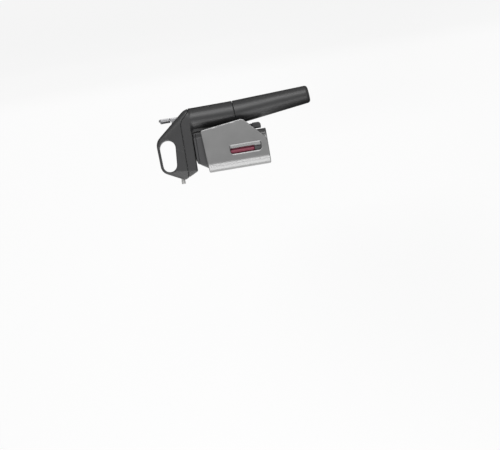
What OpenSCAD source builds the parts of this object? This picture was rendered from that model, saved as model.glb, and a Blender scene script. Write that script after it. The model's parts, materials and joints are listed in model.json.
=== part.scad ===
// Wine preservation dispenser.
// A head with a gas-capsule handle rides on a rail up and down a clamp that grips the neck of a
// bottle. A hollow needle goes down through the cork, gas goes in, and wine comes out of the spout.
// Millimetres. The needle runs along Z and the lip of the bottle seats in the plane z = 0.
// +X is the handle side, -X is the spout side, and the two jaws mirror each other across y = 0.

/* [Bottle neck] */
// Diameter of the neck that the jaws grip
neck_d = 29.2; // [28.4:0.1:30]

/* [Clamp jaws] */
// Distance from the needle to the front of the jaws
jaw_front = 22; // [21.5:0.5:24]
// Half the width over both jaws
jaw_half_w = 27.5; // [27:0.5:30]
// Wall of a jaw
jaw_wall = 3; // [2.6:0.1:3.4]
// Radius of a jaw's front corner
jaw_corner_r = 12; // [10:0.5:14]
// Height of the jaws' front edge above the lip seat
jaw_rise = 29; // [28.5:0.5:32]
// Depth of the jaws below the lip seat
jaw_drop = 58; // [56:0.5:62]
// Gap between the two jaws at the front
jaw_gap = 1.2; // [0.8:0.1:2]
// Height of the tail's top corner above the lip seat
tail_rise = 32.5; // [31:0.5:36]
// Distance from the needle to the tail's top corner
tail_x = 37; // [35:0.5:40]
// Distance from the needle to the tail's widest point
tail_belly_x = 44; // [42:0.5:47]
// Depth of the tail's widest point below the lip seat
tail_belly_drop = 25; // [20:0.5:30]
// Width of the window slot in a jaw
slot_w = 6.6; // [5.5:0.1:7.5]
// Length of the window slot
slot_len = 43; // [38:0.5:46]
// Width of the slope beside the window slot
bevel_w = 6; // [4:0.5:7]
// Thickness of a soft grip pad
pad_t = 3.5; // [3:0.1:3.8]
// Length of the grip pad's straight wall
pad_len = 46; // [42:0.5:48]

/* [Yoke] */
// Distance from the needle to the front of the yoke
yoke_front = 15; // [14:0.5:16]
// Distance from the needle to the front of the yoke's top
yoke_nose = 6.5; // [5:0.5:8]
// Half the width of the yoke
yoke_half_w = 20; // [19:0.5:20.5]
// Height of the yoke above the lip seat
yoke_top = 43.5; // [42:0.5:46]
// Wall of the yoke
yoke_wall = 3; // [2.4:0.1:3.6]
// Diameter of the jaws' hinge pins
pin_d = 3; // [2.6:0.1:3.2]

/* [Rail] */
// Width of the rail
rail_w = 13; // [12:0.5:14]
// Thickness of the rail
rail_t = 7.5; // [7:0.1:8]
// Depth of the rail's end below the lip seat
rail_drop = 52; // [50:0.5:56]
// How far the head rises above the clamp
travel = 60; // [55:1:62]

/* [Head] */
// Gap between the clamp and the head when the needle is all the way down
head_gap = 1.5; // [1:0.1:2.5]
// Half the width of the head over the handle
head_half_w = 16; // [15.5:0.1:17]
// Wall of the head's shells
head_wall = 2.2; // [1.8:0.1:2.6]
// Height of the lower shell of the head
lower_shell_h = 13.5; // [13:0.1:14]
// Outer diameter of the spout tube
spout_d = 6; // [5.6:0.1:6.4]
// How far the spout tube stands out of the head
spout_out = 5.5; // [4:0.5:8]

/* [Needle] */
// Diameter of the needle
needle_d = 1.8; // [1.6:0.1:2]
// Depth of the needle's tip below the lip seat
needle_reach = 58; // [56:0.5:60]

/* [Trigger] */
// Width of the thumb paddle
paddle_w = 18; // [14:0.5:22]
// Height of the paddle's tip above the trigger's pivot
paddle_rise = 38; // [36:0.5:42]

/* [Handle and cup] */
// Angle between the cup and the needle
handle_tilt = 4.8; // [4:0.1:6]
// Radius of the handle where the cup meets it
handle_r = 16.9; // [16.6:0.1:17.6]
// Radius of the cup's end
cup_end_r = 12.4; // [12:0.1:13.5]
// Length of the cup
cup_len = 107.5; // [100:0.5:115]
// Wall of the cup
cup_wall = 2.2; // [1.8:0.1:2.6]
// Diameter of the gas capsule
capsule_d = 18.6; // [18:0.1:18.8]
// Length of the gas capsule
capsule_len = 66; // [62:0.5:68]

/* [Hidden] */
$fn = 64;
hull_fn = 36;
far = 200;

// Clearances
fit = 0.1;        // pieces that are assembled once
slide_gap = 0.25; // pieces that slide
pin_gap = 0.05;   // round pieces that turn
press_gap = 0.02; // pins held in their bores

// Colours
silver = [0.62, 0.62, 0.62];
black = [0.16, 0.16, 0.16];
charcoal = [0.24, 0.24, 0.24];
wine_red = [0.45, 0.12, 0.18];
steel = [0.75, 0.75, 0.77];
brass = [0.72, 0.58, 0.32];
alloy = [0.7, 0.71, 0.72];
rubber = [0.08, 0.08, 0.08];
ivory = [0.86, 0.86, 0.82];

// Neck and jaws
neck_r = neck_d / 2;
lip_gap = 0.6;
pad_out_r = neck_r + pad_t;
carrier_in_r = pad_out_r + fit;
carrier_t = 3;
carrier_out_r = carrier_in_r + carrier_t;
flange_t = 2.5;
flange_in_r = carrier_in_r + 0.3;
jaw_in_y = jaw_half_w - jaw_wall;
pad_from = 55;
pad_to = 168;
carrier_from = 50;
carrier_to = 150;
carrier_top = -1;
carrier_bottom = -jaw_drop + flange_t + fit;
lead_in = 6;
collar_h = 20;
collar_gap = 2.6;
boss_x = [-13.5, 12];
boss_y = carrier_in_r - 8.2;
jaw_screw_at = [68, 117];
jaw_screw_len = 11;
jaw_screw_r = 1;
jaw_screw_ring_r = (carrier_in_r + jaw_in_y) / 2;
slot_x = 1;
slot_top = -4.5;
slot_mid_z = slot_top - slot_len / 2;
rib_w = slot_w + 2.6;
rib_end = 9.5;
bevel_deep = 2.2;

// Yoke and hinges
yoke_base = lip_gap;
yoke_corner_r = 6;
yoke_slope_z = 30;
yoke_back = neck_r + 13.9;
collar_r = yoke_back - 1;
cover_t = 3;
cover_z = yoke_top - cover_t;
land_x = [3, 24];
land_half = 9.5;
land_t = 1.1;
hinge_x = yoke_back - 7.5;
hinge_y = yoke_half_w - 0.5;
pin_r = pin_d / 2;
knuckle_r = pin_r + 1.9;
pocket_r = knuckle_r + 0.7;
ear_t = 4;
ear_low = yoke_base + 1.4;
ear_high = 24;
spring_room = 4.2;
spring_wire = 0.8;
guide_r = 6;
guide_top = 16;
bush_r = 4;
bush_z = 36;
gasket_in_r = guide_r + 1.5;
gasket_out_r = neck_r - 1.2;
gasket_t = 2.4;
needle_r = needle_d / 2;
guide_bore_r = needle_r + 0.08;
yoke_screw_at = [[-3, 13], [12, 13]];

// Rail
rail_x = yoke_back + slide_gap;
rail_half = rail_w / 2;
groove_x = rail_x + rail_t / 2 - 1;
groove_w = 2;
groove_deep = 2;
arm_t = 3.8;
arm_out_x = rail_x + rail_t - 1.2;
stop_h = 12;
stop_w = rail_w + 3.5;
stop_t = rail_t + 0.75;
stop_edge = 4;
sleeve_z = -rail_drop + stop_h + travel + 0.3;

// Head
head_floor = yoke_top + head_gap;
seam_z = head_floor + lower_shell_h;
shell_gap = 0.2;
rail_to_handle = 2.25;
handle_x = rail_x + rail_t + rail_to_handle + handle_r;
head_back_x = handle_x + 2.1;
handle_top_r = head_half_w + 0.2;
cup_seam_z = -18.5;
spine_half = 8;
spine_back = rail_x + rail_t + fit;
spine_front = handle_x - handle_top_r + head_wall;
spine_low = cup_seam_z + 8;
// Discs whose hull is the head: x, height above the floor, radius, edge radius, how much narrower
// than the head each side is
head_discs = [
    [-15.5, 2.5, 2.5, 2, 4],
    [-20, 19.5, 6, 4, 7],
    [-3, 37.5, 13, 4.5, 5],
    [24.5, 35.5, 16, 5.5, 3.5],
    [head_back_x, 1, 13, 10, 0],
    [handle_x - 13.4, 2, 2, 2, 1]];
loop_small = [-2.7, head_floor + 37.2];
loop_small_r = 9.8;
loop_large = [20.6, head_floor + 36.7];
loop_large_r = 11.2;
loop_wall = 2;
// The seam between the head's two shells: along z = seam_z, then down beside the handle's back
seam_line = [[-60, seam_z], [handle_x - 5.4, seam_z], [handle_x + 0.6, seam_z - 3],
             [handle_x + 11.1, head_floor + shell_gap],
             [far, head_floor + shell_gap], [far, far], [-60, far]];
cover_screw_at = [[-15, 0, 3.8], [18, 9.2, 6], [18, -9.2, 6]];
cover_screw_r = 1.3;
cover_boss_r = 2.8;

// Trigger
pivot = [head_back_x, head_floor + 5];
trigger_pin_r = 1.5;
boss_r = 4;
web_half = 5;
paddle_corner_r = 4;
stem_z = head_floor + 15;
push_x = pivot[0] - 4.7;
web_top = pivot[1] + 20.5;
paddle_in_x = pivot[0] + 0.5;
paddle_out_x = pivot[0] + 4.4;
slot_far_x = pivot[0] - 8;
slot_near_x = paddle_out_x + 0.3;
pin_half = head_half_w - 3;

// Valve
block_x = [-11, 24];
block_half = 6.2;
block_base = head_floor + head_wall + 0.3;
block_top = head_floor + 19.5;
spout_z = head_floor + 22.5;
spout_r = spout_d / 2;
spout_in_r = spout_r - 0.3;
spout_lip = 5.2;
spout_wall = 0.7;
ring_out_r = spout_in_r + 1.2;
ring_x = [19.6, 21.2];
tower_x = -5.6;
spout_tip_x = -26 - spout_out;
spout_root_x = -9;
valve_r = 3.2;
gas_z = head_floor + 7;
hub_r = 4.2;
hub_z = head_floor + 0.3;
thread_r = 3;
hub_flange_t = 3.2;
hub_top = hub_z + 9;
stem_r = 1.4;
seal_at = [-0.1, 15.3];
seal_r = 0.7;
collar_x = 38;
gland_t = 1.5;
stem_tip_x = push_x - 0.1;

// Handle, regulator, capsule and cup: heights along the handle's own axis, 0 at the cup's seam
thread_cup_r = 12;
nose_len = 12;
cup_pitch = 2;
reg_r = 11.4;
reg_top = 27;
reg_flange_r = handle_r - head_wall - 0.5;
piston_r = 7.93;
piston_bore_r = 8;
piston_low = 12;
piston_t = 5;
cap_t = 3;
capsule_r = capsule_d / 2;
capsule_top = -10.2;
capsule_neck_r = 4.4;
capsule_neck_len = 8;
capsule_gap = 0.5;
liner_in_r = capsule_r + capsule_gap;
liner_out_r = liner_in_r + 1.2;
liner_bottom = capsule_top - capsule_len - 5;
cup_gap = 0.3;
cup_end_edge = 4.5;
relief_z = 16;
relief_r = 1.5;
relief_turn = -29;
tube_r = 1.6;
tube_bend = 8;
tube_x = handle_x - 4;

// ---------------------------------------------------------------------------------- helpers

// Extrudes an outline drawn in x and z along y, to y = half on both sides
module along_y(half) rotate([90, 0, 0]) linear_extrude(2 * half, center = true) children();

// A cylinder along x from x0 to x1 at height z
module rod_x(x0, x1, z, r) translate([x0, 0, z]) rotate([0, 90, 0]) cylinder(r = r, h = x1 - x0);

// A box from one corner to the opposite one
module block(a, b) translate(a) cube(b - a);

// Puts what is drawn along the handle's own axis in its place
module in_handle() translate([handle_x, 0, cup_seam_z]) rotate([0, -handle_tilt, 0]) children();

// A rectangle from one corner to the opposite one
module block_2d(a, b) translate(a) square(b - a);

// A ring about z between two radii and two heights
module ring(r_in, r_out, z0, z1) translate([0, 0, z0]) difference() {
    cylinder(r = r_out, h = z1 - z0);
    translate([0, 0, -1]) cylinder(r = r_in, h = z1 - z0 + 2);
}

// Where the straight side of a belt round two circles leaves the first one
function belt_normal(c1, r1, c2, r2, side) =
    let (d = c2 - c1, turn = side * acos((r1 - r2) / norm(d)) + atan2(d[1], d[0]))
    [cos(turn), sin(turn)];

// The outline of a belt round two circles
module belt(c1, r1, c2, r2) {
    up = belt_normal(c1, r1, c2, r2, 1);
    down = belt_normal(c1, r1, c2, r2, -1);
    polygon([c1 + r1 * up, c1, c1 + r1 * down, c2 + r2 * down, c2, c2 + r2 * up]);
    translate(c1) circle(r1);
    translate(c2) circle(r2);
}

function unit(v) = v / norm(v);
function tangent(path, i) =
    unit(path[min(i + 1, len(path) - 1)] - path[max(i - 1, 0)]);
function wire_ring(p, t, r, sides) =
    let (u = unit(cross([0, 0, 1], t)), v = cross(t, u))
    [for (k = [0 : sides - 1]) p + r * (cos(360 * k / sides) * u + sin(360 * k / sides) * v)];

// A round wire along a path
module wire(path, r, sides = 6) {
    count = len(path);
    points = [for (i = [0 : count - 1]) each wire_ring(path[i], tangent(path, i), r, sides)];
    skin = [for (i = [0 : count - 2], k = [0 : sides - 1])
        [i * sides + k, i * sides + (k + 1) % sides,
         (i + 1) * sides + (k + 1) % sides, (i + 1) * sides + k]];
    caps = [[for (k = [0 : sides - 1]) sides - 1 - k], [for (k = [0 : sides - 1]) (count - 1) * sides + k]];
    polyhedron(points, [for (f = concat(skin, caps)) [for (k = [len(f) - 1 : -1 : 0]) f[k]]]);
}

// The points of a helix about z
function helix(r, height, turns, start = 0, steps = 14) =
    [for (i = [0 : turns * steps])
        [r * cos(start + 360 * i / steps), r * sin(start + 360 * i / steps), height * i / (turns * steps)]];

// ------------------------------------------------------------------------------------- yoke

// Plan of the yoke: a block with round front corners, and arms that reach round the rail
module yoke_plan(inset = 0) {
    r = yoke_corner_r - inset;
    half = yoke_half_w - inset;
    translate([-yoke_front + yoke_corner_r, -half])
        square([yoke_back - inset + yoke_front - yoke_corner_r, 2 * half]);
    translate([-yoke_front + inset, -half + r]) square([r, 2 * (half - r)]);
    for (s = [-1, 1]) translate([-yoke_front + yoke_corner_r, s * (half - r)]) circle(r);
}

// Side view of the yoke, with its sloping nose
module yoke_side(inset = 0)
    polygon([[-yoke_front + inset, yoke_base - 1], [-yoke_front + inset, yoke_slope_z],
             [-yoke_nose + inset, yoke_top], [yoke_back + 20, yoke_top], [yoke_back + 20, yoke_base - 1]]);

// One arm round the rail, with the tongue that runs in the rail's groove
module yoke_arm(s) mirror([0, s < 0 ? 1 : 0, 0]) {
    block([yoke_back - 1, rail_half + slide_gap, sleeve_z],
          [arm_out_x, rail_half + slide_gap + arm_t, yoke_top]);
    block([groove_x + slide_gap, rail_half + slide_gap - groove_deep, sleeve_z],
          [groove_x + groove_w - slide_gap, rail_half + slide_gap + 1, yoke_top]);
}

// The whole yoke as one solid, before its cover is parted from it
module yoke_solid() {
    intersection() {
        translate([0, 0, yoke_base]) linear_extrude(yoke_top - yoke_base) yoke_plan();
        along_y(yoke_half_w + 1) yoke_side();
    }
    for (s = [-1, 1]) {
        yoke_arm(s);
        for (z = [ear_low, ear_high])
            translate([hinge_x, s * hinge_y, z]) cylinder(r = knuckle_r, h = ear_t);
    }
}

module yoke_screw_places() for (p = yoke_screw_at, s = [-1, 1]) translate([p[0], s * p[1], 0]) children();

// The hollow inside the yoke, round its guide tube, hinge bosses and screw bosses
module yoke_hollow() difference() {
    intersection() {
        translate([0, 0, yoke_base + yoke_wall]) linear_extrude(cover_z - yoke_base) yoke_plan(yoke_wall);
        along_y(yoke_half_w) yoke_side(yoke_wall * 1.2);
    }
    cylinder(r = guide_r + 3, h = far, center = true);
    yoke_screw_places() cylinder(r = 3.6, h = far, center = true);
    for (s = [-1, 1]) translate([hinge_x, s * hinge_y, 0])
        cylinder(r = pocket_r + 2.2, h = far, center = true);
}

module yoke() color(charcoal) difference() {
    intersection() {
        yoke_solid();
        block([-far, -far, -far], [far, far, cover_z]);
    }
    yoke_hollow();
    translate([0, 0, -1]) cylinder(r = guide_r, h = far);
    translate([0, 0, -1]) cylinder(r = gasket_out_r + fit, h = 1 + gasket_t + fit);
    yoke_screw_places() translate([0, 0, cover_z - 12]) cylinder(r = 1.2 + press_gap, h = far);
    for (s = [-1, 1]) {
        translate([hinge_x, s * hinge_y, ear_low + ear_t])
            cylinder(r = pocket_r, h = ear_high - ear_low - ear_t);
        translate([hinge_x, s * hinge_y, ear_low - 5])
            cylinder(r = pin_r + press_gap, h = 5 + ear_high + ear_t - ear_low);
        translate([0, s > 0 ? 0 : -far, 0])
            block([hinge_x, s > 0 ? hinge_y - 3.2 : far - yoke_half_w - 1, ear_low + ear_t],
                  [yoke_back + 1, s > 0 ? yoke_half_w + 1 : far - hinge_y + 3.2, ear_low + ear_t + spring_room]);
    }
}

module yoke_cover() color(charcoal) difference() {
    union() {
        intersection() {
            yoke_solid();
            block([-far, -far, cover_z], [far, far, far]);
        }
        block([-land_x[0], -land_half, cover_z + 0.5], [land_x[1], land_half, yoke_top + land_t]);
    }
    cylinder(r = bush_r + press_gap, h = far);
    yoke_screw_places() {
        cylinder(r = 1.3, h = far);
        translate([0, 0, yoke_top - 1.6]) cylinder(r = 2.4, h = 5);
    }
}

module yoke_screws() color(steel) yoke_screw_places() difference() {
    union() {
        translate([0, 0, cover_z - 8]) cylinder(r = 1.2, h = cover_t + 8 - 1.5);
        translate([0, 0, yoke_top - 1.6]) cylinder(r = 2.2, h = 1.4);
    }
    translate([0, 0, yoke_top - 1.1]) cylinder(r = 1.1, h = 2, $fn = 6);
}

module needle_guide() color(ivory) difference() {
    translate([0, 0, 0.2]) cylinder(r = guide_r - press_gap, h = guide_top);
    cylinder(r = guide_bore_r, h = far, center = true);
    translate([0, 0, -0.5]) cylinder(r1 = 3.2, r2 = guide_bore_r, h = 3.5);
}

module upper_bush() color(ivory) difference() {
    union() {
        translate([0, 0, bush_z]) cylinder(r = bush_r, h = hub_z - bush_z);
        translate([0, 0, bush_z]) cylinder(r = guide_r - press_gap, h = cover_z - bush_z - fit);
    }
    cylinder(r = guide_bore_r, h = far, center = true);
    translate([0, 0, hub_z - 1.5]) cylinder(r1 = guide_bore_r, r2 = 2.4, h = 1.6);
}

module lip_gasket() color(rubber) difference() {
    ring(gasket_in_r - 1.5 + fit, gasket_out_r, 0, gasket_t);
    translate([0, 0, -0.01]) rotate_extrude()
        translate([(gasket_in_r + gasket_out_r) / 2, 0]) circle(0.6, $fn = 24);
}

module hinge_pins() color(steel) for (s = [-1, 1])
    translate([hinge_x, s * hinge_y, ear_low]) cylinder(r = pin_r, h = ear_high + ear_t - ear_low);

// A torsion spring round the hinge pin: one leg on the yoke, one on the jaw's tail
module jaw_spring(s) color(steel) mirror([0, s < 0 ? 1 : 0, 0])
    translate([hinge_x, hinge_y, ear_low + ear_t + spring_wire / 2 + fit]) {
        coil_r = pin_r + 0.15 + spring_wire / 2;
        coil = helix(coil_r, spring_room - spring_wire - 2 * fit, 3.5, 90);
        top = coil[len(coil) - 1];
        reach = jaw_in_y - hinge_y - spring_wire / 2 - 0.2;
        wire(concat([[8, reach, 0], [4, (reach + coil_r) / 2, 0]], coil, [top + [5, 0.3, 0]]),
             spring_wire / 2);
    }
module jaw_spring_left() jaw_spring(-1);
module jaw_spring_right() jaw_spring(1);

// ------------------------------------------------------------------------------------- jaws

// Plan of both jaws: round front corners, and a back that is left to the side view
module jaw_plan(inset = 0) {
    r = jaw_corner_r - inset;
    half = jaw_half_w - inset;
    translate([-jaw_front + jaw_corner_r, -half]) square([jaw_front + 2 * tail_belly_x, 2 * half]);
    translate([-jaw_front + inset, -half + r]) square([r, 2 * (half - r)]);
    for (s = [-1, 1]) translate([-jaw_front + jaw_corner_r, s * (half - r)]) circle(r);
}

// Side view of a jaw, with its tail
module jaw_side()
    polygon([[-jaw_front - 1, jaw_rise], [-jaw_front, jaw_rise], [tail_x - 1.5, tail_rise - 0.1],
             [tail_x, tail_rise - 1.5], [tail_belly_x, -tail_belly_drop],
             [tail_belly_x - 1.2, -tail_belly_drop - 4],
             [tail_belly_x - 29, -jaw_drop + 3], [tail_belly_x - 33, -jaw_drop + 1],
             [tail_belly_x - 38, -jaw_drop],
             [-jaw_front - 1, -jaw_drop]]);

// The half-space that holds one jaw
module jaw_half(s, gap) block([-far, s > 0 ? gap : -far, -far], [far, s > 0 ? far : -gap, far]);

// The stadium of the window slot, from the jaw's outside inwards
module slot_form(s, w, len, deep) translate([slot_x, s * jaw_half_w, slot_mid_z]) rotate([90, 0, 0])
    linear_extrude(2 * deep, center = true) {
        square([w, len - w], center = true);
        for (e = [-1, 1]) translate([0, e * (len - w) / 2]) circle(w / 2);
    }

// The slope that leads into the window slot from the handle side
module slot_bevel(s) translate([slot_x + slot_w / 2 + bevel_w, s * jaw_half_w, slot_mid_z])
    rotate([0, 0, s * atan(bevel_deep / bevel_w)])
        translate([-bevel_w - slot_w / 2, s > 0 ? 0 : -bevel_w - slot_w, -slot_len / 2])
            cube([bevel_w + slot_w / 2, bevel_w + slot_w, slot_len]);

module jaw_shell(s) color(silver) difference() {
    union() {
        // outer panel, round the front and back along the tail
        intersection() {
            difference() {
                translate([0, 0, -far / 2]) linear_extrude(far) jaw_plan();
                translate([0, 0, -far / 2 - 1]) linear_extrude(far + 2) jaw_plan(jaw_wall);
            }
            along_y(jaw_half_w + 1) jaw_side();
            jaw_half(s, jaw_gap / 2);
        }
        // collar round the back of the neck
        intersection() {
            ring(collar_r - jaw_wall, collar_r, -jaw_drop, -jaw_drop + collar_h);
            jaw_half(s, collar_gap);
            block([0, -far, -far], [far, far, far]);
        }
        // flange that closes the bottom
        intersection() {
            difference() {
                union() {
                    translate([0, 0, -jaw_drop]) cylinder(r = collar_r, h = flange_t);
                    intersection() {
                        translate([0, 0, -jaw_drop]) linear_extrude(flange_t) jaw_plan();
                        block([-far, -far, -far], [0, far, far]);
                    }
                }
                translate([0, 0, -far]) cylinder(r = flange_in_r, h = 2 * far);
            }
            jaw_half(s, jaw_gap / 2 + 0.4);
            translate([0, 0, -far / 2]) linear_extrude(far) jaw_plan();
        }
        // lip at the top, just clear of the yoke
        intersection() {
            difference() {
                translate([0, 0, jaw_rise - 1 - flange_t]) linear_extrude(flange_t) jaw_plan(0.5);
                translate([0, 0, -far / 2]) linear_extrude(far) yoke_plan(-0.7);
            }
            jaw_half(s, jaw_gap / 2);
            block([-far, -far, -far], [hinge_x - knuckle_r - 1.2, far, far]);
        }
        // hinge knuckle and its web
        knuckle_z = ear_low + ear_t + spring_room + 0.2;
        translate([hinge_x, s * hinge_y, knuckle_z])
            cylinder(r = knuckle_r, h = ear_high - 0.3 - knuckle_z);
        translate([0, s > 0 ? 0 : -far, 0])
            block([hinge_x - knuckle_r, s > 0 ? hinge_y : far - jaw_in_y - 1, knuckle_z],
                  [hinge_x + knuckle_r, s > 0 ? jaw_in_y + 1 : far - hinge_y, ear_high - 0.3]);
    }
    translate([hinge_x, s * hinge_y, -far / 2]) cylinder(r = pin_r + pin_gap, h = far);
    slot_form(s, slot_w, slot_len, jaw_wall + 1);
    slot_bevel(s);
    jaw_screw_places(s) translate([0, 0, -jaw_drop - 1]) {
        cylinder(r = 1.2, h = 6);
        cylinder(r = 2.1, h = 2.3);
    }
}
module jaw_shell_left() jaw_shell(-1);
module jaw_shell_right() jaw_shell(1);

module jaw_screw_places(s) for (a = jaw_screw_at)
    translate([jaw_screw_ring_r * cos(a), s * jaw_screw_ring_r * sin(a), 0]) children();

// Plan of the space inside a jaw: square towards the front and round towards the back
module jaw_inside_plan() intersection() {
    jaw_plan(jaw_wall + fit);
    union() {
        circle(collar_r - jaw_wall - 3 * fit);
        translate([-far, -far]) square([far, 2 * far]);
    }
}

// An arc-shaped wall about the needle between two angles; s picks the side
module arc_wall(s, from, to, r_in, r_out, z0, z1) mirror([0, s < 0 ? 1 : 0, 0]) rotate([0, 0, from])
    rotate_extrude(angle = to - from) translate([r_in, z0]) square([r_out - r_in, z1 - z0]);

// The window rib of a grip pad, rounded towards the slot
module rib_form(s, grow) {
    top = slot_top + slot_w / 2;
    low = slot_top - slot_len + rib_end;
    translate([slot_x - rib_w / 2 - grow, s > 0 ? pad_out_r - 3 : -jaw_in_y + 1.4 - grow, low - grow])
        cube([rib_w + 2 * grow, jaw_in_y - 1.4 - pad_out_r + 3 + grow, top - low + 2 * grow]);
    intersection() {
        translate([slot_x, s * (jaw_in_y - rib_w / 2 - 0.1), low - grow])
            cylinder(r = rib_w / 2 + grow, h = top - low + 2 * grow);
        block([-far, s > 0 ? 0 : -jaw_in_y + 0.1, -far], [far, s > 0 ? jaw_in_y - 0.1 : 0, far]);
    }
}

module jaw_carrier(s) color(black) difference() {
    intersection() {
        union() {
            arc_wall(s, carrier_from, carrier_to, carrier_in_r, carrier_out_r, carrier_bottom, carrier_top);
            // boss that fills the space up to the shell
            difference() {
                block([boss_x[0], s > 0 ? boss_y : -jaw_in_y, carrier_bottom + 0.8],
                      [boss_x[1], s > 0 ? jaw_in_y : -boss_y, carrier_top - 1]);
                translate([0, 0, -far / 2]) cylinder(r = carrier_in_r + 0.5, h = far);
            }
        }
        translate([0, 0, -far / 2]) linear_extrude(far) jaw_inside_plan();
    }
    // window for the grip pad's rib
    mirror([0, s < 0 ? 1 : 0, 0])
        block([slot_x - rib_w / 2 - fit, pad_out_r - 4, slot_top - slot_len + rib_end - fit],
              [slot_x + rib_w / 2 + fit, jaw_half_w, 1]);
    jaw_screw_places(s) translate([0, 0, -jaw_drop - 1])
        cylinder(r = jaw_screw_r + press_gap, h = jaw_screw_len + 2);
}
module jaw_carrier_left() jaw_carrier(-1);
module jaw_carrier_right() jaw_carrier(1);

module grip_pad(s) color(wine_red) {
    arc_wall(s, pad_from, pad_to, neck_r, pad_out_r, -pad_len, 0);
    mirror([0, s < 0 ? 1 : 0, 0]) rotate([0, 0, pad_from]) rotate_extrude(angle = pad_to - pad_from)
        polygon([[neck_r, -pad_len], [pad_out_r, -pad_len], [pad_out_r, -pad_len - lead_in]]);
    difference() {
        rib_form(s, 0);
        translate([0, 0, -far / 2]) cylinder(r = pad_out_r - 0.5, h = far);
    }
}
module grip_pad_left() grip_pad(-1);
module grip_pad_right() grip_pad(1);

module jaw_screws(s) color(steel) jaw_screw_places(s) translate([0, 0, -jaw_drop]) difference() {
    union() {
        translate([0, 0, 0.2]) cylinder(r = 1.9, h = 1);
        cylinder(r = jaw_screw_r, h = jaw_screw_len);
    }
    translate([0, 0, -1]) cylinder(r = 0.9, h = 1.8, $fn = 6);
}
module jaw_screws_left() jaw_screws(-1);
module jaw_screws_right() jaw_screws(1);

// ------------------------------------------------------------------------------------- head

// A disc in the x-z plane with rounded edges
module soft_disc(r, half, edge) rotate([90, 0, 0]) rotate_extrude($fn = hull_fn)
    polygon(concat([[0, -half]],
        [for (a = [-90 : 15 : 0]) [r - edge + edge * cos(a), -half + edge + edge * sin(a)]],
        [for (a = [0 : 15 : 90]) [r - edge + edge * cos(a), half - edge + edge * sin(a)]],
        [[0, half]]));

// The head, or the space inside it when inset is the wall
module head_form(inset = 0) intersection() {
    hull() {
        for (d = head_discs) translate([d[0], 0, head_floor + d[1]])
            soft_disc(max(d[2] - inset, 0.4), head_half_w - d[4] - inset,
                      max(min(d[3], d[2]) - inset, 0.3));
        translate([handle_x, 0, head_floor]) cylinder(r = handle_top_r + 0.2 - inset, h = 0.5, $fn = 48);
    }
    block([-far, -far, head_floor + inset], [far, far, far]);
}

// The handle above the cup, or the space inside it
module handle_form(inset = 0) difference() {
    low = cup_seam_z - 5;
    top = head_floor + 0.3;
    translate([handle_x, 0, low])
        cylinder(r1 = handle_r_at(low) - inset, r2 = handle_r_at(top) - inset, h = top - low);
    in_handle() translate([-far / 2, -far / 2, -far + cup_gap / 2 - inset]) cube(far);
}
function handle_r_at(z) =
    handle_r + (handle_top_r - handle_r) * (z - cup_seam_z) / (head_floor - cup_seam_z);

// The loop through the head, grown by a wall
module loop_form(grow, half) along_y(half)
    belt(loop_small, loop_small_r + grow, loop_large, loop_large_r + grow);

module seam_side(up) if (up) along_y(far) offset_seam(shell_gap / 2);
    else difference() {
        block([-far, -far, -far], [far, far, far]);
        along_y(far + 1) offset_seam(-shell_gap / 2);
    }
module offset_seam(up) translate([0, up]) polygon(seam_line);

module cover_screw_places() for (p = cover_screw_at) translate([p[0], p[1], 0]) children();

module rail_foot_screw_places() for (x = [rail_x + 0.8, rail_x + rail_t - 0.8], s = [-1, 1])
    translate([x, s * (rail_half + 2.6), 0]) children();

// The spine on the handle's inner side, which backs the rail
module spine_form() difference() {
    along_y(spine_half) {
        block_2d([spine_back, spine_low], [spine_front, head_floor + 0.5]);
        polygon([[spine_back, spine_low + 0.01], [spine_front, cup_seam_z + 2],
                 [spine_front, spine_low + 0.01]]);
    }
    handle_form(head_wall);
}

module head_body() color(black) difference() {
    union() {
        difference() {
            union() {
                intersection() { head_form(); seam_side(false); }
                handle_form();
            }
            head_form(head_wall);
            handle_form(head_wall);
            translate([handle_x, 0, head_floor - 1])
                cylinder(r = handle_top_r - head_wall - 0.6, h = head_wall + 2);
        }
        spine_form();
        intersection() {
            head_form(0.4);
            seam_side(false);
            union() {
                cover_screw_places() translate([0, 0, head_floor]) cylinder(r = cover_boss_r, h = far);
                for (s = [-1, 1])
                    translate([pivot[0], s * (web_half + 0.4), pivot[1]]) rotate([-s * 90, 0, 0])
                    cylinder(r = 3.6, h = head_half_w);
            }
        }
    }
    translate([0, 0, head_floor - 1]) cylinder(r = hub_r + 0.4, h = head_wall + 3);
    cover_screw_places() {
        translate([0, 0, head_floor - 1]) cylinder(r = cover_screw_r + 0.05, h = far);
        translate([0, 0, head_floor - 1]) cylinder(r = 2.5, h = 2.8);
    }
    rail_foot_screw_places() translate([0, 0, head_floor + 0.6]) cylinder(r = 1 + press_gap, h = 4);
    block([rail_x - fit, -rail_half - fit, head_floor - 1],
          [rail_x + rail_t + fit, rail_half + fit, head_floor + head_wall + 1]);
    translate([pivot[0], 0, pivot[1]]) rotate([90, 0, 0])
        cylinder(r = trigger_pin_r + press_gap, h = 2 * (pin_half + fit), center = true);
    relief_place() cylinder(r = relief_r + press_gap, h = 3 * head_wall, center = true);
}

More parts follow.
